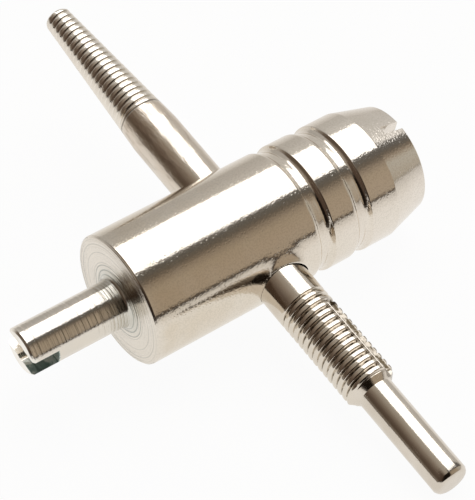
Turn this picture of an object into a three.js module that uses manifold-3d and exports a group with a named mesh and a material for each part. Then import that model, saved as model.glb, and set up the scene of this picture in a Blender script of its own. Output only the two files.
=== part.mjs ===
// Valve thread chaser: a hand tool that drives valve cores, cleans the inner and outer threads
// of a tyre valve and draws out broken cores. Millimetres, +Z up.
//
// The tool is laid out in its own axes: the body lies along X with its nose at +X, and the cross bar
// lies along Y with its tap at -Y. The two axes cross at the origin. The last lines lay it down on a
// bench, where it rests on its barrel and on the tip of its pilot.
import * as THREE from "three";
import { mergeVertices } from "three/addons/utils/BufferGeometryUtils.js";
import Module from "manifold-3d";

// Barrel and nose
const barrelDiameter = 13.3;
const barrelLength = 32.2;
const frontToBar = 14.2; // front face to the axis of the cross bar
const frontEdgeBreak = 0.2;
const noseLength = 4.25;
const noseRimDiameter = 11;
const grooveCount = 2;
const grooveWidth = 1.95;
const grooveDepth = 0.42;
const groovePitch = 4.5;
const grooveFromCone = 3.05; // last groove to the start of the nose's cone

// Valve core driver on the front face
const spigotDiameter = 4.75;
const spigotLength = 10.6;
const spigotFillet = 0.9;
const spigotEdgeBreak = 0.2;
const forkSlotWidth = 2;
const forkSlotDepth = 2.65;
const coreBoreDiameter = 2.2;
const coreBoreDepth = 6;
const drillPoint = THREE.MathUtils.degToRad(118);
const cutTurn = THREE.MathUtils.degToRad(3.3); // both saw cuts stand a little off the bar

// Threaded die in the nose, for the outer thread of the valve
const dieMajorDiameter = 7.7;
const dieThreadDepth = 0.42;
const diePitch = 0.794; // 32 threads an inch
const dieDepth = 10.5;
const dieMouthDiameter = 8.3;
const chipSlotWidth = 0.87;
const chipSlotDepth = 2.3;

// Cross bar. Lengths along it count from the axis of the body.
const barDiameter = 5.2;
const tapPitch = 0.706; // 36 threads an inch
const tapThreadDepth = 0.36;
const tapStart = 9.5;
const tapEnd = 20.1;
const pilotDiameter = 3.6;
const pilotEnd = 32.1;
const pilotEdgeRadius = 0.5;
const fluteCount = 2;
const fluteRadius = 0.85;
const fluteStart = 11.9;
const fluteToPilot = 0.1; // floor of a flute above the pilot's surface
const fluteTurn = THREE.MathUtils.degToRad(43);
const extractorPitch = 0.706;
const extractorThreadDepth = 0.26;
const extractorTipDiameter = 2.8;
const extractorTipBreak = 0.3;
const extractorTaperStart = 14.6;
const extractorThreadStart = 17;
const extractorEnd = 32.4;

// Lock screw, pressed on the bar from the bottom of the die bore
const screwDiameter = 5;
const screwLength = 4;
const screwPitch = 0.8;
const screwThreadDepth = 0.4;
const screwEdgeBreak = 0.5;
const socketAcrossFlats = 2.5;
const socketSides = 6;
const socketDepth = 2;

// Clearances
const barGapFront = 0.06; // the screw pushes the bar to the front of its hole
const barGapNose = 0.24;
const screwSideGap = 0.15;
const screwToBar = 0.25;

// Shape of every thread: its flat land as a share of the pitch, and the turns in which it fades out
const threadLand = 0.22;
const threadFadeTurns = 0.5;
const threadSnap = 0.25; // share of one step round the thread in which a row joins the ring at its end

// Fineness of the faceted surfaces, and how far a cutting tool reaches past what it cuts
const barrelSides = 40;
const boreSides = 18;
const barSides = 18;
const holeSides = 32;
const fluteSides = 14;
const arcSteps = 4;
const cutOver = 0.5;
const weldDistance = 1e-5;

// Derived places and radii
const barrelRadius = barrelDiameter / 2;
const barRadius = barDiameter / 2;
const pilotRadius = pilotDiameter / 2;
const spigotRadius = spigotDiameter / 2;
const frontX = -frontToBar;
const noseX = frontX + barrelLength;
const coneX = noseX - noseLength;
const tipX = frontX - spigotLength;
const dieBottomX = noseX - dieDepth;
const dieMinorRadius = dieMajorDiameter / 2 - dieThreadDepth;
const pilotStart = tapEnd + barRadius - pilotRadius; // the lead cone stands at 45 degrees
const barHoleRadius = barRadius + (barGapFront + barGapNose) / 2;
const barHoleX = (barGapNose - barGapFront) / 2;
const screwHoleRadius = screwDiameter / 2 + screwSideGap;
const screwTipX = barRadius + screwToBar;

const wasm = await Module();
wasm.setup();

// A closed three.js geometry as a solid that can be joined and cut.
function solid(geometry) {
  geometry.deleteAttribute("normal");
  geometry.deleteAttribute("uv");
  const welded = mergeVertices(geometry, weldDistance);
  return new wasm.Manifold(
    new wasm.Mesh({
      numProp: 3,
      vertProperties: welded.attributes.position.array,
      triVerts: new Uint32Array(welded.index.array),
    }),
  );
}

function meshOf(name, shape, material) {
  const { vertProperties, triVerts, numProp } = shape.getMesh();
  const geometry = new THREE.BufferGeometry();
  geometry.setAttribute("position", new THREE.BufferAttribute(vertProperties, numProp));
  geometry.setIndex(new THREE.BufferAttribute(triVerts, 1));
  geometry.computeVertexNormals();
  const mesh = new THREE.Mesh(geometry, material);
  mesh.name = name;
  return mesh;
}

// Turns a shape's own axis, Y, onto the body's axis, X.
const alongX = (geometry) => geometry.rotateZ(-Math.PI / 2);

// Points of an arc in a turned profile, its two ends included.
function arc(centreRadius, centrePlace, radius, fromAngle, toAngle) {
  return Array.from({ length: arcSteps + 1 }, (_, step) => {
    const angle = THREE.MathUtils.degToRad(fromAngle + ((toAngle - fromAngle) * step) / arcSteps);
    return [centreRadius + radius * Math.cos(angle), centrePlace + radius * Math.sin(angle)];
  });
}

// A turned shape along Y. Its rows run from the low end to the high end. A row is one [radius, place]
// of the profile, or a function that gives a [radius, place] for every step round the axis.
function turned(rows, sides) {
  const corners = [];
  for (const row of rows) {
    for (let step = 0; step <= sides; step++) {
      const [radius, place] = typeof row === "function" ? row(step) : row;
      const angle = ((step % sides) * 2 * Math.PI) / sides;
      corners.push(radius * Math.sin(angle), place, radius * Math.cos(angle));
    }
  }
  const faces = [];
  for (let row = 0; row < rows.length - 1; row++) {
    for (let step = 0; step < sides; step++) {
      const low = row * (sides + 1) + step;
      const high = low + sides + 1;
      faces.push(low, low + 1, high, low + 1, high + 1, high);
    }
  }
  const geometry = new THREE.BufferGeometry();
  geometry.setAttribute("position", new THREE.Float32BufferAttribute(corners, 3));
  geometry.setIndex(faces);
  return geometry;
}

// The rows of a right-hand thread between two places of a turned shape. Every row climbs one pitch in
// a turn, so its last step meets the first step of the same row one turn on. At both ends the rows
// gather in one flat ring, where landAt and grooveAt give the same radius.
function threadRows({ pitch, from, to, landAt, grooveAt, sides }) {
  const nearEnd = threadSnap * (pitch / sides);
  const turns = Math.ceil((to - from) / pitch);
  const rows = [];
  for (let turn = -1; turn <= turns; turn++) {
    for (const [share, radiusAt] of [
      [0, landAt],
      [threadLand, landAt],
      [(1 + threadLand) / 2, grooveAt],
    ]) {
      rows.push((step) => {
        let place = from + pitch * (share + (turn * sides + step) / sides);
        if (place < from + nearEnd) place = from;
        if (place > to - nearEnd) place = to;
        return [radiusAt(place), place];
      });
    }
  }
  return rows;
}

// How much of a thread's depth is reached at this distance from the place where it fades out.
const threadFade = (distance, pitch) => Math.min(1, distance / (pitch * threadFadeTurns));

// A grip groove's round floor, as part of the barrel's profile.
function gripGroove(middleX) {
  const halfWidth = grooveWidth / 2;
  const radius = (halfWidth ** 2 + grooveDepth ** 2) / (2 * grooveDepth);
  const centreRadius = barrelRadius - grooveDepth + radius;
  const halfAngle = THREE.MathUtils.radToDeg(Math.asin(halfWidth / radius));
  return arc(centreRadius, middleX, radius, 180 + halfAngle, 180 - halfAngle);
}

// The die bore with its thread. It narrows at its bottom to the lock screw's hole, which opens into
// the cross hole.
function dieBore() {
  const mouthX = noseX + cutOver;
  const mouthAt = (place) => dieMouthDiameter / 2 + place - noseX;
  const fadedDepth = (place) => dieThreadDepth * threadFade(place - dieBottomX, diePitch);
  return turned(
    [
      [0, 0],
      [screwHoleRadius, 0],
      [screwHoleRadius, dieBottomX - (dieMinorRadius - screwHoleRadius)],
      ...threadRows({
        pitch: diePitch,
        from: dieBottomX,
        to: mouthX,
        landAt: (place) => Math.max(mouthAt(place), dieMinorRadius + fadedDepth(place)),
        grooveAt: (place) => Math.max(mouthAt(place), dieMinorRadius),
        sides: boreSides,
      }),
      [0, mouthX],
    ],
    boreSides,
  );
}

function makeBody() {
  const lastGrooveX = coneX - grooveFromCone - grooveWidth / 2;
  const grooves = Array.from({ length: grooveCount }, (_, index) =>
    gripGroove(lastGrooveX - (grooveCount - 1 - index) * groovePitch),
  );
  const blank = turned(
    [
      [0, tipX],
      [spigotRadius - spigotEdgeBreak, tipX],
      [spigotRadius, tipX + spigotEdgeBreak],
      ...arc(spigotRadius + spigotFillet, frontX - spigotFillet, spigotFillet, 180, 90),
      [barrelRadius - frontEdgeBreak, frontX],
      [barrelRadius, frontX + frontEdgeBreak],
      ...grooves.flat(),
      [barrelRadius, coneX],
      [noseRimDiameter / 2, noseX],
      [0, noseX],
    ],
    barrelSides,
  );
  const coreBore = turned(
    [
      [0, tipX - cutOver],
      [coreBoreDiameter / 2, tipX - cutOver],
      [coreBoreDiameter / 2, tipX + coreBoreDepth],
      [0, tipX + coreBoreDepth + coreBoreDiameter / 2 / Math.tan(drillPoint / 2)],
    ],
    boreSides,
  );
  const acrossBarrel = barrelDiameter + 2 * cutOver;
  const crossHole = new THREE.CylinderGeometry(barHoleRadius, barHoleRadius, acrossBarrel, holeSides);
  crossHole.translate(barHoleX, 0, 0);
  const forkSlot = new THREE.BoxGeometry(forkSlotDepth + cutOver, acrossBarrel, forkSlotWidth);
  forkSlot.translate(tipX + (forkSlotDepth - cutOver) / 2, 0, 0).rotateX(cutTurn);
  const chipSlot = new THREE.BoxGeometry(chipSlotDepth + cutOver, chipSlotWidth, acrossBarrel);
  chipSlot.translate(noseX - (chipSlotDepth - cutOver) / 2, 0, 0).rotateX(cutTurn);

  return solid(alongX(blank))
    .subtract(solid(alongX(dieBore())))
    .subtract(solid(alongX(coreBore)))
    .subtract(solid(crossHole))
    .subtract(solid(forkSlot))
    .subtract(solid(chipSlot));
}

function makeCrossBar() {
  const leadConeAt = (place) => Math.min(barRadius, pilotRadius + place + pilotStart);
  const tapRows = threadRows({
    pitch: tapPitch,
    from: -pilotStart,
    to: -tapStart,
    landAt: leadConeAt,
    grooveAt: (place) =>
      Math.min(leadConeAt(place), barRadius - tapThreadDepth * threadFade(-tapStart - place, tapPitch)),
    sides: barSides,
  });

  const tipRadius = extractorTipDiameter / 2;
  const taper = (barRadius - tipRadius) / (extractorEnd - extractorTaperStart);
  const taperAt = (place) => barRadius - taper * (place - extractorTaperStart);
  const tipAt = (place) => Math.min(taperAt(place), tipRadius - extractorTipBreak + extractorEnd - place);
  const extractorRows = threadRows({
    pitch: extractorPitch,
    from: extractorThreadStart,
    to: extractorEnd,
    landAt: tipAt,
    grooveAt: (place) =>
      Math.min(
        tipAt(place),
        taperAt(place) - extractorThreadDepth * threadFade(place - extractorThreadStart, extractorPitch),
      ),
    sides: barSides,
  });

  let bar = solid(
    turned(
      [
        [0, -pilotEnd],
        ...arc(pilotRadius - pilotEdgeRadius, pilotEdgeRadius - pilotEnd, pilotEdgeRadius, -90, 0),
        ...tapRows,
        [barRadius, extractorTaperStart],
        ...extractorRows,
        [0, extractorEnd],
      ],
      barSides,
    ),
  );

  // Each flute is cut by a ball-ended tool that runs off the lead cone, clear of the pilot.
  const fluteLength = pilotStart - fluteStart;
  const fluteOffset = pilotRadius + fluteToPilot + fluteRadius;
  for (let index = 0; index < fluteCount; index++) {
    const angle = fluteTurn + (index * 2 * Math.PI) / fluteCount;
    const flute = new THREE.CapsuleGeometry(fluteRadius, fluteLength, arcSteps, fluteSides);
    flute.translate(
      fluteOffset * Math.cos(angle),
      -fluteStart - fluteRadius - fluteLength / 2,
      fluteOffset * Math.sin(angle),
    );
    bar = bar.subtract(solid(flute));
  }
  return bar;
}

function makeLockScrew() {
  const radius = screwDiameter / 2;
  const headX = screwTipX + screwLength;
  const endAt = (place) =>
    Math.min(radius, radius - screwEdgeBreak + Math.min(place - screwTipX, headX - place));
  const blank = turned(
    [
      [0, screwTipX],
      ...threadRows({
        pitch: screwPitch,
        from: screwTipX,
        to: headX,
        landAt: endAt,
        grooveAt: (place) => Math.min(endAt(place), radius - screwThreadDepth),
        sides: barSides,
      }),
      [0, headX],
    ],
    barSides,
  );
  const socketRadius = socketAcrossFlats / 2 / Math.cos(Math.PI / socketSides);
  const socket = new THREE.CylinderGeometry(socketRadius, socketRadius, socketDepth + cutOver, socketSides);
  socket.translate(0, headX - (socketDepth - cutOver) / 2, 0);
  return solid(alongX(blank)).subtract(solid(alongX(socket)));
}

const platedSteel = new THREE.MeshStandardMaterial({ color: 0xd2cec6, roughness: 0.22, metalness: 1 });
const hardenedSteel = new THREE.MeshStandardMaterial({ color: 0xc9c4ba, roughness: 0.18, metalness: 1 });
const blackenedSteel = new THREE.MeshStandardMaterial({ color: 0x3a3733, roughness: 0.45, metalness: 1 });

const tool = new THREE.Group();
tool.add(
  meshOf("body", makeBody(), platedSteel),
  meshOf("cross_bar", makeCrossBar(), hardenedSteel),
  meshOf("lock_screw", makeLockScrew(), blackenedSteel),
);

// At rest the barrel and the rounded edge of the pilot's end touch the bench.
const edgeReach = pilotEnd - pilotEdgeRadius;
const edgeDrop = pilotRadius - pilotEdgeRadius;
tool.rotation.x =
  Math.asin((barrelRadius - pilotEdgeRadius) / Math.hypot(edgeReach, edgeDrop)) -
  Math.atan2(edgeDrop, edgeReach);
const box = new THREE.Box3().setFromObject(tool, true);
tool.position.set(-(box.min.x + box.max.x) / 2, -(box.min.y + box.max.y) / 2, -box.min.z);

const valveThreadChaser = new THREE.Group();
valveThreadChaser.add(tool);
export default valveThreadChaser;
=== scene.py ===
import math

import bmesh
import bpy
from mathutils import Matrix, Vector


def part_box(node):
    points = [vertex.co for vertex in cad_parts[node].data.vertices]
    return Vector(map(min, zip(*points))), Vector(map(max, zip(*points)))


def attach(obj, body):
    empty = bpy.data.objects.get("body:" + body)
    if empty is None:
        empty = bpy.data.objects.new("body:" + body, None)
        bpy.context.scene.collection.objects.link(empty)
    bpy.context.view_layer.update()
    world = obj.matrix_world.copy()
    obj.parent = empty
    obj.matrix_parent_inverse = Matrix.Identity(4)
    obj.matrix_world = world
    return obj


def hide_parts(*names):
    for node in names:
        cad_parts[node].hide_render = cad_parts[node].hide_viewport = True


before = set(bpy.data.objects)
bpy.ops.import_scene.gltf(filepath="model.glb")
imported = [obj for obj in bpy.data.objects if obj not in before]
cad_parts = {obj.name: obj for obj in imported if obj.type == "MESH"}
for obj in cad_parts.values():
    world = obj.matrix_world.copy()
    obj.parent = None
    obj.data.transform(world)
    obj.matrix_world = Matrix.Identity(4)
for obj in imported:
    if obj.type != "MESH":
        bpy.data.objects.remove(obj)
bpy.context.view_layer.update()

print("frame loaded:", ", ".join(sorted(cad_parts)))

# The tool is modelled in millimetres on its own axes, X along the body and Y along the bar, then laid down.
layDown = {
    "tipToBar": 24.8,     # driver tip to the crossing of the two axes
    "barrelRadius": 6.65,
    "pilotReach": 31.6,   # crossing to the centre of the pilot's rounded edge
    "pilotDrop": 1.3,
    "pilotEdge": 0.5,
    "toMetres": 0.001,
}
bodyLow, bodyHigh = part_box("body")
crossing = Vector((
    bodyLow.x + layDown["tipToBar"] * layDown["toMetres"],
    (bodyLow.y + bodyHigh.y) / 2,
    (bodyLow.z + bodyHigh.z) / 2,
))
tilt = math.asin(
    (layDown["barrelRadius"] - layDown["pilotEdge"]) / math.hypot(layDown["pilotReach"], layDown["pilotDrop"])
) - math.atan2(layDown["pilotDrop"], layDown["pilotReach"])

meshing = {
    "weld": 0.0005,    # points closer than this become one
    "pick": 0.001,     # how near its place a picked point lies
    "sliver": 0.001,   # thinner faces go after the cuts
    "smoothAngle": math.radians(32),
}


def deselectAll():
    if bpy.context.object and bpy.context.object.mode != "OBJECT":
        bpy.ops.object.mode_set(mode="OBJECT")
    bpy.ops.object.select_all(action="DESELECT")


def makeActive(piece):
    deselectAll()
    piece.select_set(True)
    bpy.context.view_layer.objects.active = piece


def startEdit(piece):
    makeActive(piece)
    bpy.ops.object.mode_set(mode="EDIT")
    bpy.ops.mesh.select_mode(type="VERT")
    bpy.ops.mesh.select_all(action="DESELECT")


def endEdit():
    bpy.ops.object.mode_set(mode="OBJECT")


def pickVerts(piece, test):
    skin = bmesh.from_edit_mesh(piece.data)
    for vert in skin.verts:
        vert.select = test(vert.co)
    skin.select_flush(True)
    bmesh.update_edit_mesh(piece.data)


def closeSkin():
    bpy.ops.mesh.select_all(action="SELECT")
    bpy.ops.mesh.remove_doubles(threshold=meshing["weld"])
    bpy.ops.mesh.normals_make_consistent(inside=False)


def drawProfile(name, points):
    # a plane merged to one vertex, drawn out point by point as (place along X, radius)
    deselectAll()
    bpy.ops.mesh.primitive_plane_add(size=1, location=(0, 0, 0))
    piece = bpy.context.object
    piece.name = name
    bpy.ops.object.mode_set(mode="EDIT")
    bpy.ops.mesh.select_mode(type="VERT")
    bpy.ops.mesh.merge(type="CENTER")
    place, radius = points[0]
    bpy.ops.transform.translate(value=(place, 0, radius))
    for nextPlace, nextRadius in points[1:]:
        step = (nextPlace - place, 0, nextRadius - radius)
        bpy.ops.mesh.extrude_vertices_move(TRANSFORM_OT_translate={"value": step})
        place, radius = nextPlace, nextRadius
    return piece


def turnProfile(name, points, steps):
    piece = drawProfile(name, points)
    bpy.ops.mesh.select_all(action="SELECT")
    bpy.ops.mesh.spin(steps=steps, angle=2 * math.pi, center=(0, 0, 0), axis=(1, 0, 0))
    closeSkin()
    endEdit()
    return piece


def arcPoints(centre, radius, fromDegrees, toDegrees, count):
    points = []
    for index in range(count + 1):
        angle = math.radians(fromDegrees + (toDegrees - fromDegrees) * index / count)
        points.append((centre[0] + radius * math.cos(angle), centre[1] + radius * math.sin(angle)))
    return points


def evenPlaces(fromPlace, toPlace, step):
    # places between the two, without the two themselves
    count = max(1, round(abs(toPlace - fromPlace) / step))
    return [fromPlace + (toPlace - fromPlace) * index / count for index in range(1, count)]


def windThread(name, thread, landAt, depthAt):
    # one tooth of the thread, repeated along the rod and wound round it one turn
    pitch = thread["pitch"]
    tooth = [(share * pitch, thread["radius"] - deep * thread["depth"]) for share, deep in thread["tooth"]]
    tooth.append((pitch, tooth[0][1]))
    piece = drawProfile(name, tooth)
    endEdit()
    row = piece.modifiers.new("teeth", "ARRAY")
    row.count = math.ceil((thread["to"] - thread["from"]) / pitch) + 2
    row.use_relative_offset = False
    row.use_constant_offset = True
    row.constant_offset_displace = (pitch, 0, 0)
    row.use_merge_vertices = True
    row.merge_threshold = meshing["weld"]
    bpy.ops.object.modifier_apply(modifier=row.name)
    wind = piece.modifiers.new("wind", "SCREW")
    wind.axis = "X"
    wind.angle = 2 * math.pi
    wind.screw_offset = pitch
    wind.steps = thread["steps"]
    wind.render_steps = thread["steps"]
    wind.use_merge_vertices = False
    bpy.ops.object.modifier_apply(modifier=wind.name)
    # the ends are trimmed flat, and the teeth take the rod's own shape
    near = pitch / thread["steps"] / 4
    startEdit(piece)
    skin = bmesh.from_edit_mesh(piece.data)
    for vert in skin.verts:
        radius = math.hypot(vert.co.y, vert.co.z)
        deep = (thread["radius"] - radius) / thread["depth"]
        place = vert.co.x + thread["from"] - pitch
        if place < thread["from"] + near:
            place = thread["from"]
        if place > thread["to"] - near:
            place = thread["to"]
        grow = (landAt(place) - deep * depthAt(place)) / radius
        vert.co = (place, vert.co.y * grow, vert.co.z * grow)
    bmesh.update_edit_mesh(piece.data)
    closeSkin()
    endEdit()
    return piece


def drawOut(piece, fromPlace, rings, cap=True):
    # carries the open ring at fromPlace through further (place, radius) rings and closes it
    startEdit(piece)
    pickVerts(piece, lambda co: abs(co.x - fromPlace) < meshing["pick"])
    ring = [vert.co for vert in bmesh.from_edit_mesh(piece.data).verts if vert.select]
    place, radius = fromPlace, math.hypot(ring[0].y, ring[0].z)
    for nextPlace, nextRadius in rings:
        bpy.ops.mesh.extrude_edges_move(TRANSFORM_OT_translate={"value": (nextPlace - place, 0, 0)})
        grow = nextRadius / radius
        bpy.ops.transform.resize(value=(1, grow, grow), center_override=(nextPlace, 0, 0))
        place, radius = nextPlace, nextRadius
    if cap:
        bpy.ops.mesh.edge_face_add()
    bpy.ops.mesh.select_all(action="SELECT")
    bpy.ops.mesh.normals_make_consistent(inside=False)
    endEdit()


def boxCutter(name, size, place, turn):
    deselectAll()
    bpy.ops.mesh.primitive_cube_add(size=1, location=place)
    cutter = bpy.context.object
    cutter.name = name
    cutter.scale = size
    bpy.ops.object.transform_apply(location=True, rotation=False, scale=True)
    cutter.rotation_euler = (turn, 0, 0)
    bpy.ops.object.transform_apply(location=False, rotation=True, scale=False)
    return cutter


def joinSolid(piece, other, operation):
    makeActive(piece)
    joint = piece.modifiers.new("joint", "BOOLEAN")
    joint.operation = operation
    joint.solver = "EXACT"
    joint.object = other
    bpy.ops.object.modifier_apply(modifier=joint.name)
    bpy.data.objects.remove(other)


def cutAway(piece, cutter):
    joinSolid(piece, cutter, "DIFFERENCE")


def addOn(piece, extra):
    joinSolid(piece, extra, "UNION")


def finishPiece(piece, node, skin, alongBar=False):
    makeActive(piece)
    if alongBar:
        piece.rotation_euler = (0, 0, math.pi / 2)
        bpy.ops.object.transform_apply(location=False, rotation=True, scale=False)
    piece.rotation_euler = (tilt, 0, 0)
    piece.scale = (layDown["toMetres"],) * 3
    piece.location = crossing
    bpy.ops.object.transform_apply(location=True, rotation=True, scale=True)
    bpy.ops.object.shade_smooth_by_angle(angle=meshing["smoothAngle"])
    piece.data.materials.clear()
    piece.data.materials.append(skin)
    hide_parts(node)
    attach(piece, "root")
    print(piece.name, "done,", len(piece.data.polygons), "faces")


class Wire:
    # one shader socket, so that sums of sockets read as sums
    def __init__(self, tree, socket=None):
        self.tree = tree
        self.socket = socket

    def add(self, kind, settings=None, links=None, out=0):
        node = self.tree.nodes.new(kind)
        for key, value in (settings or {}).items():
            if key == "stops":
                self.fillRamp(node.color_ramp, value)
            else:
                setattr(node, key, value)
        for key, value in (links or {}).items():
            if isinstance(value, Wire):
                self.tree.links.new(value.socket, node.inputs[key])
            else:
                node.inputs[key].default_value = value
        return Wire(self.tree, node.outputs[out] if node.outputs else None)

    def fillRamp(self, ramp, stops):
        ramp.elements.remove(ramp.elements[1])
        ramp.elements[0].position = stops[0][0]
        ramp.elements[0].color = (*stops[0][1], 1)
        for place, colour in stops[1:]:
            ramp.elements.new(place).color = (*colour, 1)

    def maths(self, operation, first, second=0.0):
        return self.add("ShaderNodeMath", {"operation": operation}, {0: first, 1: second})

    def __add__(self, other):
        return self.maths("ADD", self, other)

    def __radd__(self, other):
        return self.maths("ADD", other, self)

    def __sub__(self, other):
        return self.maths("SUBTRACT", self, other)

    def __rsub__(self, other):
        return self.maths("SUBTRACT", other, self)

    def __mul__(self, other):
        return self.maths("MULTIPLY", self, other)

    def __rmul__(self, other):
        return self.maths("MULTIPLY", other, self)

    def __truediv__(self, other):
        return self.maths("DIVIDE", self, other)

    def __rtruediv__(self, other):
        return self.maths("DIVIDE", other, self)

    def __pow__(self, other):
        return self.maths("POWER", self, other)

    def __neg__(self):
        return self.maths("MULTIPLY", self, -1)

    def ease(self, low, high):
        # 0 below low, 1 above high, eased between
        return self.add(
            "ShaderNodeMapRange",
            {"interpolation_type": "SMOOTHSTEP"},
            {0: self, 1: low, 2: high, 3: 0.0, 4: 1.0},
        )

    def between(self, start, end):
        # rises over start and falls over end, each a (low, high) pair
        return self.ease(*start) * (1 - self.ease(*end))

    def ramp(self, stops):
        return self.add("ShaderNodeValToRGB", {"stops": stops}, {0: self})

    def blend(self, share, first, second):
        settings = {"data_type": "RGBA", "blend_type": "MIX"}
        return self.add("ShaderNodeMix", settings, {0: share, 6: first, 7: second}, 2)

    def part(self, index):
        return self.add("ShaderNodeSeparateXYZ", None, {0: self}, index)


def newSkin(name):
    skin = bpy.data.materials.new(name)
    skin.use_nodes = True
    skin.node_tree.nodes.clear()
    return skin, Wire(skin.node_tree)


def toolPlace(wire):
    # where a point lies on the tool's own axes, in millimetres
    place = wire.add("ShaderNodeTexCoord", out="Object")
    return wire.add("ShaderNodeMapping", {"vector_type": "TEXTURE"}, {
        "Vector": place, "Location": crossing, "Rotation": (tilt, 0, 0), "Scale": (layDown["toMetres"],) * 3,
    })


def cloud(place, scale, detail, stretch=(1, 1, 1)):
    moved = place.add("ShaderNodeMapping", {"vector_type": "POINT"}, {"Vector": place, "Scale": stretch})
    return place.add("ShaderNodeTexNoise", None, {"Vector": moved, "Scale": scale, "Detail": detail})


def ringNoise(along, scale, detail):
    settings = {"noise_dimensions": "1D"}
    return along.add("ShaderNodeTexNoise", settings, {"W": along, "Scale": scale, "Detail": detail})


def dots(place, scale, inner, outer):
    # round spots, one for each cell
    return 1 - place.add("ShaderNodeTexVoronoi", None, {"Vector": place, "Scale": scale}).ease(inner, outer)


def scratches(place, scale, width, stretch):
    # thin lines where a stretched cloud passes its middle value, kept only in some spots
    line = 1 - ((cloud(place, scale, detail=1.0, stretch=stretch) - 0.5) ** 2.0).ease(0.0, width)
    return line * cloud(place, scale=0.7, detail=1.0).ease(0.52, 0.62)


def paint(wire, skin, colour, rough, height):
    # heights are in millimetres
    relief = wire.add("ShaderNodeBump", None, {
        "Strength": 1.0, "Distance": layDown["toMetres"], "Height": height,
    })
    shader = wire.add("ShaderNodeBsdfPrincipled", None, {
        "Base Color": colour, "Metallic": 1.0, "Roughness": rough, "Normal": relief,
    })
    wire.add("ShaderNodeOutputMaterial", None, {"Surface": shader})
    return skin


saw = {"turn": math.radians(3.3)}  # the fork and the chip slots are sawn at one angle

plating = {
    # where each finish starts and ends, in millimetres along the body, across it or out from its axis
    "spigotEnd": (-14.8, -14.3), "faceStart": (-14.6, -14.25), "faceEnd": (-14.15, -14.05),
    "filletStart": (-16.1, -15.7), "filletEnd": (-14.9, -14.6),
    "rootStart": (-17.2, -14.9), "rootEnd": (-14.1, -14.0), "rootOut": (2.7, 3.9), "rootShadeOut": (3.4, 5.4),
    "forkEnd": (-22.12, -22.0), "forkWall": (-0.03, -0.005), "forkFarSide": (-0.4, 0.7),
    "boreStart": (6.9, 7.4), "boreOut": (4.1, 4.25), "noseStart": (12.0, 15.5),
    # heights of the relief in millimetres
    "grain": 0.0055, "specks": 0.004, "sag": 0.001, "streaks": 0.0015, "pits": 0.002, "marks": 0.0006,
    "brush": 0.003, "turning": 0.04, "deepMarks": 0.02, "filletMarks": 0.06, "rings": 0.08,
    # tones along the body, as shares of the way from tip to nose; towards the nose they are painted lighter,
    # standing in for brighter reflected light there
    "tip": -layDown["tipToBar"], "length": 42.8,
    "tones": (
        (0.006, (0.95, 0.92, 0.87)), (0.014, (0.76, 0.715, 0.65)), (0.24, (0.76, 0.715, 0.65)),
        (0.25, (0.79, 0.735, 0.66)), (0.27, (0.745, 0.67, 0.565)), (0.7, (0.80, 0.735, 0.65)),
        (1.0, (0.87, 0.815, 0.75)),
    ),
    "clouded": (0.80, 0.745, 0.665, 1), "ringedAndShaded": (0.34, 0.345, 0.31, 1), "rootTint": (0.44, 0.48, 0.45, 1),
    "speckled": (0.48, 0.44, 0.385, 1), "boreShade": (0.30, 0.275, 0.24, 1),
    "sawDark": (0.30, 0.39, 0.375, 1), "sawBright": (0.90, 0.95, 0.92, 1),
    "cloudShare": 0.6, "ringShadeShare": 0.35, "rootShadeShare": 0.55, "rootTintShare": 0.35, "speckleShare": 0.16,
    "boreShadeShare": 0.7,
    "rough": 0.075, "roughClouds": 0.07, "roughPits": 0.06, "roughMarks": 0.03,
    "roughFork": 0.36, "roughBore": 0.15,
}


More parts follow.
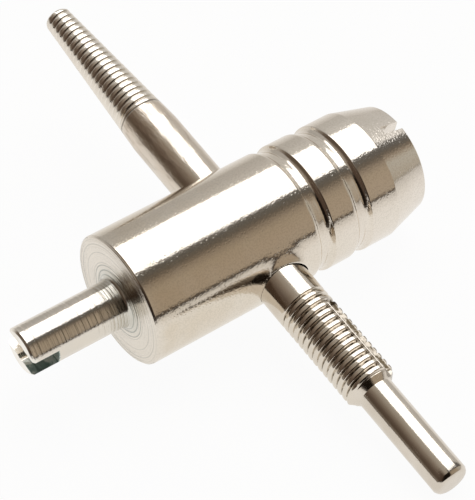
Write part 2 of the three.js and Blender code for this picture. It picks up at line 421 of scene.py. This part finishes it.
def platedSkin():
    skin, wire = newSkin("platedBody")
    place = toolPlace(wire)
    along, across, up = place.part(0), place.part(1), place.part(2)
    radial = (across * across + up * up) ** 0.5
    onSpigot = 1 - along.ease(*plating["spigotEnd"])
    onFace = along.between(plating["faceStart"], plating["faceEnd"])
    atRoot = along.between(plating["rootStart"], plating["rootEnd"]) * (1 - radial.ease(*plating["rootOut"]))
    inBore = along.ease(*plating["boreStart"]) * (1 - radial.ease(*plating["boreOut"]))
    sawn = up - across * math.tan(saw["turn"])
    inFork = (1 - along.ease(*plating["forkEnd"])) * (1 - (sawn * sawn) ** 0.5).ease(*plating["forkWall"])
    inFork = inFork * (1 - across.ease(*plating["forkFarSide"]))

    grain = cloud(place, scale=5.0, detail=0.5)
    sag = cloud(place, scale=1.3, detail=1.0)
    streaks = cloud(place, scale=2.2, detail=2.0, stretch=(0.15, 1.6, 1.6))
    pits = dots(place, scale=1.7, inner=0.05, outer=0.16) * cloud(place, scale=0.9, detail=1.0).ease(0.5, 0.6)
    specks = dots(place, scale=3.0, inner=0.1, outer=0.3)
    marks = scratches(place, scale=0.9, width=0.00012, stretch=(0.5, 2.2, 2.2))
    brush = ringNoise(along + 0.1 * grain, scale=9.0, detail=2.0) * along.ease(*plating["noseStart"])
    height = plating["grain"] * grain - plating["specks"] * specks + plating["sag"] * sag
    height = height + plating["streaks"] * streaks - plating["pits"] * pits - plating["marks"] * marks
    height = height + plating["brush"] * brush
    # the lathe's marks on the spigot and the front face
    turning = ringNoise(along + 0.02 * sag, scale=4.2, detail=4.0)
    deepMarks = 1 - ringNoise(along, scale=1.9, detail=2.0).ease(0.3, 0.42)
    onFillet = along.between(plating["filletStart"], plating["filletEnd"])
    filletMarks = ringNoise(along, scale=3.4, detail=2.0) * onFillet
    rings = ringNoise(radial, scale=4.5, detail=3.0)
    turned = plating["turning"] * turning - plating["deepMarks"] * deepMarks
    turned = turned + plating["filletMarks"] * filletMarks
    height = height + onSpigot * turned + onFace * plating["rings"] * rings

    colour = ((along - plating["tip"]) / plating["length"]).ramp(plating["tones"])
    clouds = cloud(place, scale=0.45, detail=2.0).ease(0.35, 0.75)
    colour = wire.blend(clouds * plating["cloudShare"], colour, plating["clouded"])
    # lathe rings on the front face, darkened as painted shade in their grooves, and painted darker still near
    # the spigot's root as painted shade
    ringShadeShare = plating["ringShadeShare"] + plating["rootShadeShare"] * (1 - radial.ease(*plating["rootShadeOut"]))
    shadedRingLines = (1 - rings.ease(0.3, 0.47)) * ringShadeShare
    colour = wire.blend(onFace * shadedRingLines, colour, plating["ringedAndShaded"])
    # darker and greener round the spigot's root
    colour = wire.blend(atRoot * plating["rootTintShare"], colour, plating["rootTint"])
    speckle = cloud(place, scale=6.0, detail=0.0).ease(0.4, 0.7)
    colour = wire.blend((1 - onSpigot) * speckle * plating["speckleShare"], colour, plating["speckled"])
    sawMarks = cloud(place, scale=2.2, detail=3.0, stretch=(0.4, 0.4, 4.0)).ease(0.46, 0.62)
    colour = wire.blend(inFork, colour, wire.blend(sawMarks, plating["sawDark"], plating["sawBright"]))
    # painted shade inside the die bore
    colour = wire.blend(inBore * plating["boreShadeShare"], colour, plating["boreShade"])
    rough = plating["rough"] + plating["roughClouds"] * cloud(place, scale=0.8, detail=3.0)
    rough = rough + plating["roughPits"] * pits + plating["roughMarks"] * marks
    rough = rough + plating["roughFork"] * inFork + plating["roughBore"] * inBore
    return paint(wire, skin, colour, rough, height)


hardened = {
    # where each finish starts and ends, in millimetres along the bar
    "pilotEnd": (-32.05, -31.95), "tapStart": (-20.2, -20.0), "tapEnd": (-9.6, -9.4),
    "fluteStart": (-20.9, -20.7), "fluteEnd": (-11.4, -10.8),
    "fluteFrom": (-0.1, 0.1), "fluteTo": (0.95, 1.05),  # radians round the bar
    "shankStart": (6.5, 9.5), "pointStart": (16.9, 17.05),
    "shoulderStart": (16.84, 16.94), "shoulderEnd": (17.0, 17.1),
    "radius": 2.6, "taperStart": 14.6, "taper": 0.0674,
    # heights of the relief in millimetres
    "grain": 0.003, "sag": 0.006, "marks": 0.002, "smear": 0.035, "rings": 0.01, "shoulder": 0.02,
    # tones from the pilot to the extractor's tip
    "half": 32.4,
    "tones": (
        (0.0, (0.675, 0.615, 0.54)), (0.17, (0.675, 0.615, 0.54)), (0.19, (0.75, 0.69, 0.61)),
        (0.345, (0.75, 0.69, 0.61)), (0.36, (0.69, 0.625, 0.545)), (0.58, (0.73, 0.66, 0.575)),
        (0.755, (0.745, 0.655, 0.56)), (0.77, (0.90, 0.845, 0.765)), (1.0, (0.96, 0.91, 0.84)),
    ),
    "clouded": (0.80, 0.75, 0.68, 1), "smeared": (0.42, 0.35, 0.285, 1), "grimeAndShadeTone": (0.10, 0.078, 0.05, 1),
    # how deep the grime and painted shade start and are full, in millimetres, and how much there is
    "tapRoots": (0.1, 0.24), "pointRoots": (0.05, 0.2),
    "tapGrimeAndShade": (0.15, 0.85), "fluteShade": (0.2, 0.35), "pointGrimeAndShade": 0.25,
    "cloudShare": 0.4, "smearShare": 0.4, "shoulderShadowShare": 0.7,
    "rough": 0.08, "roughClouds": 0.06, "roughGrime": 0.22, "roughShank": 0.04,
    "roughSmear": 0.12, "roughPoint": 0.06,
}


def rodSkin():
    skin, wire = newSkin("hardenedRod")
    place = toolPlace(wire)
    across, along, up = place.part(0), place.part(1), place.part(2)
    radial = (across * across + up * up) ** 0.5
    turn = wire.maths("ARCTAN2", up, across)
    onTap = along.between(hardened["tapStart"], hardened["tapEnd"])
    inFlute = turn.between(hardened["fluteFrom"], hardened["fluteTo"])
    inFlute = inFlute * along.between(hardened["fluteStart"], hardened["fluteEnd"])
    onPoint = along.ease(*hardened["pointStart"])
    onShank = along.ease(*hardened["shankStart"]) * (1 - onPoint)
    # a shallow groove where the tapered thread starts, and a painted shadow line along it
    shoulder = along.between(hardened["shoulderStart"], hardened["shoulderEnd"])
    onEnd = 1 - along.ease(*hardened["pilotEnd"])
    sunk = hardened["radius"] - radial
    sunkPoint = hardened["radius"] - hardened["taper"] * (along - hardened["taperStart"]) - radial

    grain = cloud(place, scale=7.0, detail=2.0)
    sag = cloud(place, scale=1.2, detail=1.0)
    smear = cloud(place, scale=1.1, detail=3.0, stretch=(2.2, 0.55, 2.2))
    marks = scratches(place, scale=0.9, width=0.0001, stretch=(2.0, 0.5, 2.0))
    rings = ringNoise(radial, scale=5.0, detail=3.0)
    height = hardened["grain"] * grain + hardened["sag"] * sag - hardened["marks"] * marks
    height = height + onShank * hardened["smear"] * smear + onEnd * hardened["rings"] * rings
    height = height - hardened["shoulder"] * shoulder

    # dirt and painted shade in the thread roots of the tap and the extractor, darker the deeper they lie
    some, more = hardened["tapGrimeAndShade"]
    grimeAndShade = some + more * cloud(place, scale=1.6, detail=2.0).ease(0.38, 0.64)
    grimeAndShade = onTap * sunk.ease(*hardened["tapRoots"]) * grimeAndShade
    # painted shade inside the flutes
    some, more = hardened["fluteShade"]
    grimeAndShade = grimeAndShade + inFlute * (some + more * grain)
    grimeAndShade = grimeAndShade + onPoint * sunkPoint.ease(*hardened["pointRoots"]) * hardened["pointGrimeAndShade"]
    colour = ((along + hardened["half"]) / (2 * hardened["half"])).ramp(hardened["tones"])
    clouds = cloud(place, scale=0.5, detail=2.0).ease(0.35, 0.7)
    colour = wire.blend(clouds * hardened["cloudShare"], colour, hardened["clouded"])
    smears = onShank * smear.ease(0.5, 0.68)
    colour = wire.blend(smears * hardened["smearShare"], colour, hardened["smeared"])
    # the thread roots, the flutes and the painted shadow line at the thread's start take the same dark tone
    colour = wire.blend(grimeAndShade + hardened["shoulderShadowShare"] * shoulder, colour, hardened["grimeAndShadeTone"])
    rough = hardened["rough"] + hardened["roughClouds"] * cloud(place, scale=0.9, detail=3.0)
    rough = rough + hardened["roughGrime"] * grimeAndShade
    rough = rough + onShank * (hardened["roughShank"] + hardened["roughSmear"] * smear)
    rough = rough + hardened["roughPoint"] * onPoint
    return paint(wire, skin, colour, rough, height)


blackened = {
    "grain": 0.004, "oxide": (0.03, 0.028, 0.026, 1), "worn": (0.12, 0.11, 0.10, 1),
    "wornShare": 0.5, "rough": 0.34, "roughGrain": 0.2,
}


def blackSkin():
    skin, wire = newSkin("blackOxide")
    place = toolPlace(wire)
    grain = cloud(place, scale=8.0, detail=3.0)
    worn = cloud(place, scale=1.4, detail=2.0).ease(0.6, 0.75)
    colour = wire.blend(worn * blackened["wornShare"], blackened["oxide"], blackened["worn"])
    rough = blackened["rough"] + blackened["roughGrain"] * grain
    return paint(wire, skin, colour, rough, blackened["grain"] * grain)


bodySkin = platedSkin()
barSkin = rodSkin()
screwSkin = blackSkin()
print("skins mixed")

body = {
    "steps": 240,
    "tip": -layDown["tipToBar"], "front": -14.2, "cone": 13.75, "nose": 18.0,
    "radius": layDown["barrelRadius"], "rimRadius": 5.5, "rimBreak": 0.12,
    "spigotRadius": 2.375, "spigotBreak": 0.2, "fillet": 0.9, "filletSteps": 10,
    "faceReach": 6.4, "frontEdge": ((0.0, -0.24), (0.02, -0.2), (0.18, -0.02), (0.23, 0.0)),
    "grooves": (4.25, 8.75), "grooveWidth": 1.95, "grooveDepth": 0.42,
    # shares of width and of depth: they drop from the front, run on gently and rise steeply to the nose
    "grooveShape": (
        (-0.06, 0.0), (-0.02, 0.01), (0.02, 0.05), (0.06, 0.12), (0.10, 0.21), (0.14, 0.32), (0.18, 0.43),
        (0.22, 0.52), (0.26, 0.585), (0.32, 0.655), (0.42, 0.745), (0.50, 0.82), (0.57, 0.89), (0.62, 0.95),
        (0.66, 0.99), (0.69, 1.0), (0.73, 0.975), (0.77, 0.92), (0.81, 0.84), (0.84, 0.76), (0.87, 0.67),
        (0.90, 0.54), (0.93, 0.37), (0.96, 0.18), (0.98, 0.07), (1.0, 0.02), (1.03, 0.0),
    ),
    "crease": 0.06,
    "ringStep": 1.2, "fineStep": 0.16, "fineReach": 4.0,
    "barHoleRadius": 2.68, "barHoleShift": 0.06, "barHoleSteps": 128,
    "lipHeight": 0.36, "lipWidth": 0.4, "lipWay": (0.55, 0.83),  # thrown up towards the nose and the top
    "forkWidth": 2.0, "forkDepth": 2.65,
    "chipWidth": 0.87, "chipDepth": 2.3,
    "coreRadius": 1.1, "coreDepth": 6.0, "corePoint": 0.66, "coreSteps": 64,
    "screwHoleRadius": 2.65,
    "over": 1.0,
}
die = {
    "pitch": 0.794, "depth": 0.42, "radius": 3.85, "steps": 96,
    "from": 7.5, "to": 18.6, "mouthRadius": 4.15, "fade": 0.4,
    "tooth": (
        (0.0, 0.1), (0.04, 0.0), (0.18, 0.0), (0.22, 0.1),
        (0.56, 0.93), (0.61, 1.0), (0.65, 1.0), (0.70, 0.93),
    ),
}


def bodyProfile():
    front, cone, nose, radius = body["front"], body["cone"], body["nose"], body["radius"]
    crease, step, reach = body["crease"], body["ringStep"], body["fineReach"]
    profile = [
        (body["tip"], 0.0),
        (body["tip"], body["spigotRadius"] - body["spigotBreak"]),
        (body["tip"] + body["spigotBreak"], body["spigotRadius"]),
    ]
    bend = (front - body["fillet"], body["spigotRadius"] + body["fillet"])
    profile += [(place, body["spigotRadius"]) for place in evenPlaces(profile[-1][0], bend[0], step)]
    profile += arcPoints(bend, body["fillet"], 270, 360, body["filletSteps"])
    profile += [(front, out) for out in evenPlaces(profile[-1][1], body["faceReach"], step)]
    profile += [(front + along, radius + out) for along, out in body["frontEdge"]]
    first = profile[-1][0] + crease
    places = [first, *evenPlaces(first, -reach, step), -reach]
    places += [*evenPlaces(-reach, reach, body["fineStep"]), reach]
    profile += [(place, radius) for place in places]
    for start in body["grooves"]:
        rings = [
            (start + share * body["grooveWidth"], radius - deep * body["grooveDepth"])
            for share, deep in body["grooveShape"]
        ]
        first = rings[0][0] - crease
        profile += [(place, radius) for place in [*evenPlaces(profile[-1][0], first, step), first]]
        profile += [*rings, (rings[-1][0] + crease, radius)]
    first = cone - crease
    profile += [(place, radius) for place in [*evenPlaces(profile[-1][0], first, step), first, cone]]
    slope = (radius - body["rimRadius"]) / (nose - cone)
    first, rim = cone + crease, nose - body["rimBreak"]
    places = [first, *evenPlaces(first, rim - crease, step), rim - crease, rim]
    profile += [(place, radius - slope * (place - cone)) for place in places]
    return profile + [(nose, body["rimRadius"] - body["rimBreak"]), (nose, 0.0)]


def raiseLip(piece):
    # pressing the bar in threw up a lip round its hole on the tap's side
    startEdit(piece)
    skin = bmesh.from_edit_mesh(piece.data)
    for vert in skin.verts:
        away = Vector((vert.co.x - body["barHoleShift"], vert.co.z))
        if vert.co.y < 0 and 0 < away.length < body["fineReach"]:
            share = ((1 + away.normalized().dot(Vector(body["lipWay"]))) / 2) ** 2
            past = max(0.0, away.length - body["barHoleRadius"]) / body["lipWidth"]
            grow = 1 + body["lipHeight"] * share * math.exp(-past) / body["radius"]
            vert.co.y *= grow
            vert.co.z *= grow
    bmesh.update_edit_mesh(piece.data)
    pickVerts(piece, lambda co: co.y < 0 and math.hypot(co.x, co.z) < body["fineReach"])
    bpy.ops.mesh.quads_convert_to_tris()  # the raised faces aren't flat, and the cut needs flat ones
    endEdit()


def diePlug():
    # the die bore with its thread, opening at the back into the lock screw's hole
    minor = die["radius"] - die["depth"]

    def mouthAt(place):
        return die["mouthRadius"] + place - body["nose"]

    def landAt(place):
        grown = minor + die["depth"] * min(1.0, (place - die["from"]) / die["fade"])
        return max(mouthAt(place), grown)

    def depthAt(place):
        return landAt(place) - max(mouthAt(place), minor)

    plug = windThread("diePlug", die, landAt, depthAt)
    drawOut(plug, die["to"], [])
    drawOut(plug, die["from"], [
        (die["from"] - (minor - body["screwHoleRadius"]), body["screwHoleRadius"]),
        (0.0, body["screwHoleRadius"]),
    ])
    return plug


def makeBody():
    piece = turnProfile("turnedBody", bodyProfile(), body["steps"])
    raiseLip(piece)
    print("body turned")

    cutAway(piece, diePlug())
    coreStart, coreEnd = body["tip"] - body["over"], body["tip"] + body["coreDepth"]
    cutAway(piece, turnProfile("coreDrill", [
        (coreStart, 0.0), (coreStart, body["coreRadius"]),
        (coreEnd, body["coreRadius"]), (coreEnd + body["corePoint"], 0.0),
    ], body["coreSteps"]))
    half = body["radius"] + body["over"]
    hole = turnProfile("barDrill", [
        (-half, 0.0), (-half, body["barHoleRadius"]), (half, body["barHoleRadius"]), (half, 0.0),
    ], body["barHoleSteps"])
    makeActive(hole)
    hole.rotation_euler = (0, 0, math.pi / 2)
    hole.location = (body["barHoleShift"], 0, 0)
    bpy.ops.object.transform_apply(location=True, rotation=True, scale=False)
    cutAway(piece, hole)
    cutAway(piece, boxCutter(
        "forkSaw",
        (body["forkDepth"] + body["over"], 2 * half, body["forkWidth"]),
        (body["tip"] + (body["forkDepth"] - body["over"]) / 2, 0, 0),
        saw["turn"],
    ))
    cutAway(piece, boxCutter(
        "chipSaw",
        (body["chipDepth"] + body["over"], body["chipWidth"], 2 * half),
        (body["nose"] - (body["chipDepth"] - body["over"]) / 2, 0, 0),
        saw["turn"],
    ))
    startEdit(piece)
    bpy.ops.mesh.select_all(action="SELECT")
    bpy.ops.mesh.dissolve_degenerate(threshold=meshing["sliver"])
    endEdit()
    print("body cut")
    finishPiece(piece, "body", bodySkin)


makeBody()

bar = {
    "steps": 96, "radius": 2.6,
    "pilotRadius": 1.8, "pilotStart": -20.9, "pilotEdge": -layDown["pilotReach"],
    "pilotRound": ((-31.66, 1.775), (-31.9, 1.64), (-31.97, 1.565), (-32.03, 1.45), (-32.06, 1.3)),
    "taperStart": 14.6, "taperRings": (14.6, 15.2, 15.8, 16.4),
    "tipRadius": 1.4, "tip": 32.365, "tipBreak": 0.1,
    "ringStep": 1.5,
    "fluteRadius": 0.85, "fluteStart": -11.0, "fluteRise": 0.1, "fluteTurns": (43, 223), "fluteSegments": 48,
    "burrRadius": 0.075, "burrReach": 2.56, "burrTurn": 23, "burrSides": 12,
    "burrStart": -11.7, "burrEnd": -20.1,
}
tap = {
    "pitch": 0.744, "depth": 0.25, "radius": bar["radius"], "steps": bar["steps"],
    "from": bar["pilotStart"], "to": -9.5, "fade": 0.4,
    "tooth": (
        (0.0, 0.2), (0.04, 0.11), (0.1, 0.045), (0.18, 0.01), (0.31, 0.0), (0.44, 0.01),
        (0.52, 0.045), (0.58, 0.13), (0.63, 0.28), (0.69, 0.6), (0.74, 0.85), (0.775, 0.97),
        (0.8, 1.0), (0.825, 0.97), (0.86, 0.85), (0.91, 0.6), (0.96, 0.34),
    ),
}
extractor = {
    "pitch": 0.711, "depth": 0.12, "radius": bar["radius"], "steps": bar["steps"],
    "from": 17.0, "to": bar["tip"], "fade": 0.05, "lastGroove": 0.12,
    "tooth": (
        (0.0, 0.12), (0.06, 0.03), (0.3, 0.0), (0.54, 0.03), (0.6, 0.12),
        (0.73, 0.8), (0.78, 1.0), (0.82, 1.0), (0.87, 0.8),
    ),
}


def threadedRod():
    slope = (bar["radius"] - bar["tipRadius"]) / (bar["tip"] - bar["taperStart"])

    def leadAt(place):
        return min(bar["radius"], bar["pilotRadius"] + place - bar["pilotStart"])

    def tapDepth(place):
        faded = tap["depth"] * min(1.0, (tap["to"] - place) / tap["fade"])
        return max(0.0, min(faded, leadAt(place) - (tap["radius"] - tap["depth"])))

    def taperAt(place):
        return bar["radius"] - slope * (place - bar["taperStart"])

    def tipAt(place):
        return min(taperAt(place), bar["tipRadius"] - bar["tipBreak"] + bar["tip"] - place)

    def extractorDepth(place):
        early = max(0.0, 1 - (place - extractor["from"]) / extractor["pitch"])
        deep = extractor["depth"] + extractor["lastGroove"] * early
        faded = deep * min(1.0, (place - extractor["from"]) / extractor["fade"])
        return max(0.0, min(faded, tipAt(place) - (taperAt(place) - deep), extractor["to"] - place))

    piece = windThread("crossRod", tap, leadAt, tapDepth)
    edge = bar["pilotEdge"]
    rings = [(place, bar["pilotRadius"]) for place in evenPlaces(bar["pilotStart"], edge, bar["ringStep"])]
    drawOut(piece, tap["from"], [*rings, (edge, bar["pilotRadius"]), *bar["pilotRound"]])
    rings = [(place, bar["radius"]) for place in evenPlaces(tap["to"], bar["taperStart"], bar["ringStep"])]
    rings += [(place, taperAt(place)) for place in bar["taperRings"]]
    drawOut(piece, tap["to"], rings, cap=False)
    point = windThread("extractorPoint", extractor, tipAt, extractorDepth)
    drawOut(point, extractor["to"], [])
    makeActive(point)
    piece.select_set(True)
    bpy.context.view_layer.objects.active = piece
    bpy.ops.object.join()
    startEdit(piece)
    gap = (bar["taperRings"][-1], extractor["from"])
    pickVerts(piece, lambda co: any(abs(co.x - place) < meshing["pick"] for place in gap))
    bpy.ops.mesh.bridge_edge_loops()
    closeSkin()
    endEdit()
    return piece


def cutFlute(piece, angle):
    # a ball cutter drawn out over the length of the tap
    deselectAll()
    bpy.ops.mesh.primitive_uv_sphere_add(
        segments=bar["fluteSegments"], ring_count=bar["fluteSegments"] // 2, radius=bar["fluteRadius"],
        rotation=(0, math.pi / 2, 0),
    )
    cutter = bpy.context.object
    cutter.name = "fluteCutter"
    bpy.ops.object.transform_apply(location=True, rotation=True, scale=False)
    startEdit(cutter)
    pickVerts(cutter, lambda co: co.x < -meshing["pick"])
    bpy.ops.transform.translate(value=(bar["pilotStart"] - bar["fluteStart"], 0, 0))
    bpy.ops.mesh.select_all(action="SELECT")
    offset = bar["pilotRadius"] + bar["fluteRise"] + bar["fluteRadius"]
    bpy.ops.transform.translate(value=(
        bar["fluteStart"] - bar["fluteRadius"], -offset * math.cos(angle), offset * math.sin(angle),
    ))
    endEdit()
    cutAway(piece, cutter)
    # the cutter left a burr along the flute's leading edge
    turn = angle + math.radians(bar["burrTurn"])
    reach = bar["burrReach"]
    bpy.ops.mesh.primitive_cylinder_add(
        vertices=bar["burrSides"], radius=bar["burrRadius"], depth=bar["burrStart"] - bar["burrEnd"],
        location=((bar["burrStart"] + bar["burrEnd"]) / 2, -reach * math.cos(turn), reach * math.sin(turn)),
        rotation=(0, math.pi / 2, 0),
    )
    burr = bpy.context.object
    bpy.ops.object.transform_apply(location=True, rotation=True, scale=False)
    addOn(piece, burr)


def makeBar():
    piece = threadedRod()
    print("bar threaded")
    for degrees in bar["fluteTurns"]:
        cutFlute(piece, math.radians(degrees))
    print("bar fluted")
    finishPiece(piece, "cross_bar", barSkin, alongBar=True)


makeBar()

screw = {
    "pitch": 0.8, "depth": 0.4, "radius": 2.5, "steps": 64,
    "from": 2.85, "to": 6.85, "edgeBreak": 0.5,
    "socketFlats": 2.5, "socketDepth": 2.0, "over": 1.0,
    "tooth": (
        (0.0, 0.1), (0.03, 0.0), (0.15, 0.0), (0.18, 0.1),
        (0.5, 0.95), (0.56, 1.0), (0.62, 1.0), (0.68, 0.95),
    ),
}


def makeScrew():
    def endAt(place):
        inside = min(place - screw["from"], screw["to"] - place)
        return min(screw["radius"], screw["radius"] - screw["edgeBreak"] + inside)

    def depthAt(place):
        return max(0.0, endAt(place) - (screw["radius"] - screw["depth"]))

    piece = windThread("grubScrew", screw, endAt, depthAt)
    drawOut(piece, screw["from"], [])
    drawOut(piece, screw["to"], [])
    deselectAll()
    bpy.ops.mesh.primitive_cylinder_add(
        vertices=6, radius=screw["socketFlats"] / math.sqrt(3), depth=screw["socketDepth"] + screw["over"],
        location=(screw["to"] - (screw["socketDepth"] - screw["over"]) / 2, 0, 0),
        rotation=(0, math.pi / 2, 0),
    )
    socket = bpy.context.object
    bpy.ops.object.transform_apply(location=True, rotation=True, scale=False)
    cutAway(piece, socket)
    finishPiece(piece, "lock_screw", screwSkin)


makeScrew()

table = {
    "size": 6.0, "paper": (0.92, 0.915, 0.905, 1), "white": (1, 1, 1, 1),
    # how bright the table shows in the metal, by the root of the distance in metres
    "glowShare": 0.95, "glowShift": (0.005, 0.009),
    "glow": (
        (0.0, (0.92, 0.90, 0.86)), (0.1, (0.93, 0.91, 0.87)), (0.15, (0.95, 0.935, 0.91)),
        (0.18, (0.91, 0.89, 0.86)), (0.212, (0.85, 0.82, 0.78)), (0.26, (0.75, 0.72, 0.68)),
        (0.36, (0.66, 0.63, 0.59)), (0.55, (0.60, 0.57, 0.53)), (0.75, (0.55, 0.52, 0.48)),
    ),
    # towards the camera it turns dark
    "edgeWay": (-0.77, -0.64), "edge": (0.042, 0.056), "edgeTone": (0.03, 0.021, 0.015, 1),
}


def setTable():
    deselectAll()
    bpy.ops.mesh.primitive_plane_add(size=table["size"], location=(0, 0, 0))
    floor = bpy.context.object
    floor.name = "table"
    skin, wire = newSkin("tableTop")
    direct = wire.add("ShaderNodeLightPath", out="Is Camera Ray")
    seen = wire.maths("MAXIMUM", direct, wire.add("ShaderNodeLightPath", out="Is Glossy Ray"))
    seen = wire.maths("MAXIMUM", seen, wire.add("ShaderNodeLightPath", out="Is Transmission Ray"))
    spot = wire.add("ShaderNodeTexCoord", out="Object")
    spotX, spotY = spot.part(0) + table["glowShift"][0], spot.part(1) + table["glowShift"][1]
    distance = (spotX * spotX + spotY * spotY) ** 0.5
    mirrored = (distance ** 0.5).ramp(table["glow"])
    edge = (spotX * table["edgeWay"][0] + spotY * table["edgeWay"][1]).ease(*table["edge"])
    mirrored = wire.blend(edge, mirrored, table["edgeTone"])
    shown = wire.blend(direct, mirrored, table["white"])
    paper = wire.add("ShaderNodeBsdfDiffuse", None, {"Color": table["paper"]})
    glow = wire.add("ShaderNodeEmission", None, {"Color": shown, "Strength": 1.0})
    mixed = wire.add("ShaderNodeMixShader", None, {0: seen * table["glowShare"], 1: paper, 2: glow})
    wire.add("ShaderNodeOutputMaterial", None, {"Surface": mixed})
    floor.data.materials.append(skin)


setTable()

softbox = {
    "height": 0.8,
    "middle": (0.648, 0.438), "size": (1.417, 1.239),  # per metre of height
    "turn": math.radians(7), "level": 1.7,
}
boxPlace = softbox["height"] * Vector((*softbox["middle"], 1))
bpy.ops.object.light_add(type="AREA", location=boxPlace, rotation=(0, 0, softbox["turn"]))
lamp = bpy.context.object
lamp.name = "softbox"
lamp.data.shape = "RECTANGLE"
lamp.data.size, lamp.data.size_y = softbox["height"] * Vector(softbox["size"])
lamp.data.energy = softbox["level"] * math.pi * lamp.data.size * lamp.data.size_y

# the walls that the metal mirrors, with a dark strip beside the softbox and a dark corner by the camera
room = {
    "stripLean": 0.12, "stripEdge": (0.02, 0.14),
    "sideEdge": (0.4, 0.75), "leftEdge": (0.3, 0.65),
    "lowEdge": (0.45, 0.62), "lowTone": (0.49, 0.46, 0.40, 1),
    "farWall": (
        (0.0, (0.58, 0.555, 0.52)), (0.07, (0.60, 0.575, 0.54)), (0.3, (0.60, 0.58, 0.55)),
        (0.45, (0.64, 0.62, 0.59)), (1.0, (0.60, 0.58, 0.54)),
    ),
    "farEnd": (0.84, 0.96), "farEndShare": 0.8, "farEndTone": (0.43, 0.41, 0.38, 1),
    "nearWall": (
        (0.0, (0.30, 0.28, 0.25)), (0.14, (0.13, 0.118, 0.105)), (0.2, (0.145, 0.137, 0.127)),
        (0.30, (0.13, 0.119, 0.105)), (0.38, (0.15, 0.125, 0.098)), (0.43, (0.24, 0.195, 0.15)),
        (0.48, (0.33, 0.27, 0.205)), (0.56, (0.40, 0.33, 0.245)), (0.7, (0.42, 0.345, 0.26)),
        (0.94, (0.42, 0.35, 0.27)), (0.965, (0.13, 0.10, 0.075)), (1.0, (0.09, 0.07, 0.055)),
    ),
    "leftWall": (
        (0.0, (0.26, 0.22, 0.18)), (0.1, (0.22, 0.185, 0.15)), (0.2, (0.125, 0.095, 0.072)),
        (0.3, (0.105, 0.077, 0.056)), (0.5, (0.134, 0.098, 0.075)), (0.66, (0.20, 0.16, 0.125)),
        (0.8, (0.28, 0.23, 0.185)), (1.0, (0.47, 0.43, 0.37)),
    ),
    "cornerWay": (-0.643, -0.766), "cornerEdge": (0.62, 0.78),
    "cornerTop": (0.72, 0.92), "cornerFade": (0.55, 0.85),
    "cornerDark": (0.010, 0.007, 0.005, 1), "cornerBrown": (0.085, 0.058, 0.042, 1), "white": (1, 1, 1, 1),
}


def setRoom():
    world = bpy.data.worlds.new("room")
    bpy.context.scene.world = world
    world.use_nodes = True
    world.node_tree.nodes.clear()
    wire = Wire(world.node_tree)
    way = wire.add("ShaderNodeTexCoord", out=0)
    wayX, wayY, wayZ = way.part(0), way.part(1), way.part(2)
    flat = (wayX * wayX + wayY * wayY + 0.0001) ** 0.5
    flatX, flatY = wayX / flat, wayY / flat
    drop = wire.maths("MAXIMUM", room["stripLean"] * wayX - wayY, 0.0) / wire.maths("MAXIMUM", wayZ, 0.001)
    low = drop / (1 + drop)  # 0 overhead, 1 at the table's height on the near side
    side = (-flatY).ease(*room["sideEdge"])
    farWall = wayZ.ramp(room["farWall"])
    farWall = wire.blend(flatY.ease(*room["farEnd"]) * room["farEndShare"], farWall, room["farEndTone"])
    nearWall = low.ramp(room["nearWall"])
    nearWall = wire.blend((1 - side) * low.ease(*room["lowEdge"]), nearWall, room["lowTone"])
    leftWall = wayZ.ramp(room["leftWall"])
    walls = wire.blend(low.ease(*room["stripEdge"]), farWall, nearWall)
    walls = wire.blend((-flatX).ease(*room["leftEdge"]), walls, leftWall)
    corner = (room["cornerWay"][0] * flatX + room["cornerWay"][1] * flatY).ease(*room["cornerEdge"])
    corner = corner * (1 - wayZ.ease(*room["cornerTop"]))
    dark = wire.blend((-flatX).ease(*room["cornerFade"]), room["cornerDark"], room["cornerBrown"])
    walls = wire.blend(corner, walls, dark)
    shown = wire.blend(wire.add("ShaderNodeLightPath", out="Is Camera Ray"), walls, room["white"])
    wire.add("ShaderNodeOutputWorld", None, {
        "Surface": wire.add("ShaderNodeBackground", None, {"Color": shown, "Strength": 1.0}),
    })


setRoom()
print("studio set")

camera = {
    "place": (-0.078892, -0.114249, 0.153615),
    "turn": (43.3682, 0.27401, -35.8996),
    "lens": 153.95, "sensor": 36, "nearest": 0.01, "farthest": 20,
}
bpy.ops.object.camera_add(
    location=camera["place"], rotation=[math.radians(angle) for angle in camera["turn"]],
)
viewer = bpy.context.object
viewer.data.lens = camera["lens"]
viewer.data.sensor_width = camera["sensor"]
viewer.data.clip_start = camera["nearest"]
viewer.data.clip_end = camera["farthest"]
bpy.context.scene.camera = viewer
bpy.context.scene.view_settings.view_transform = "Standard"
print("camera set")
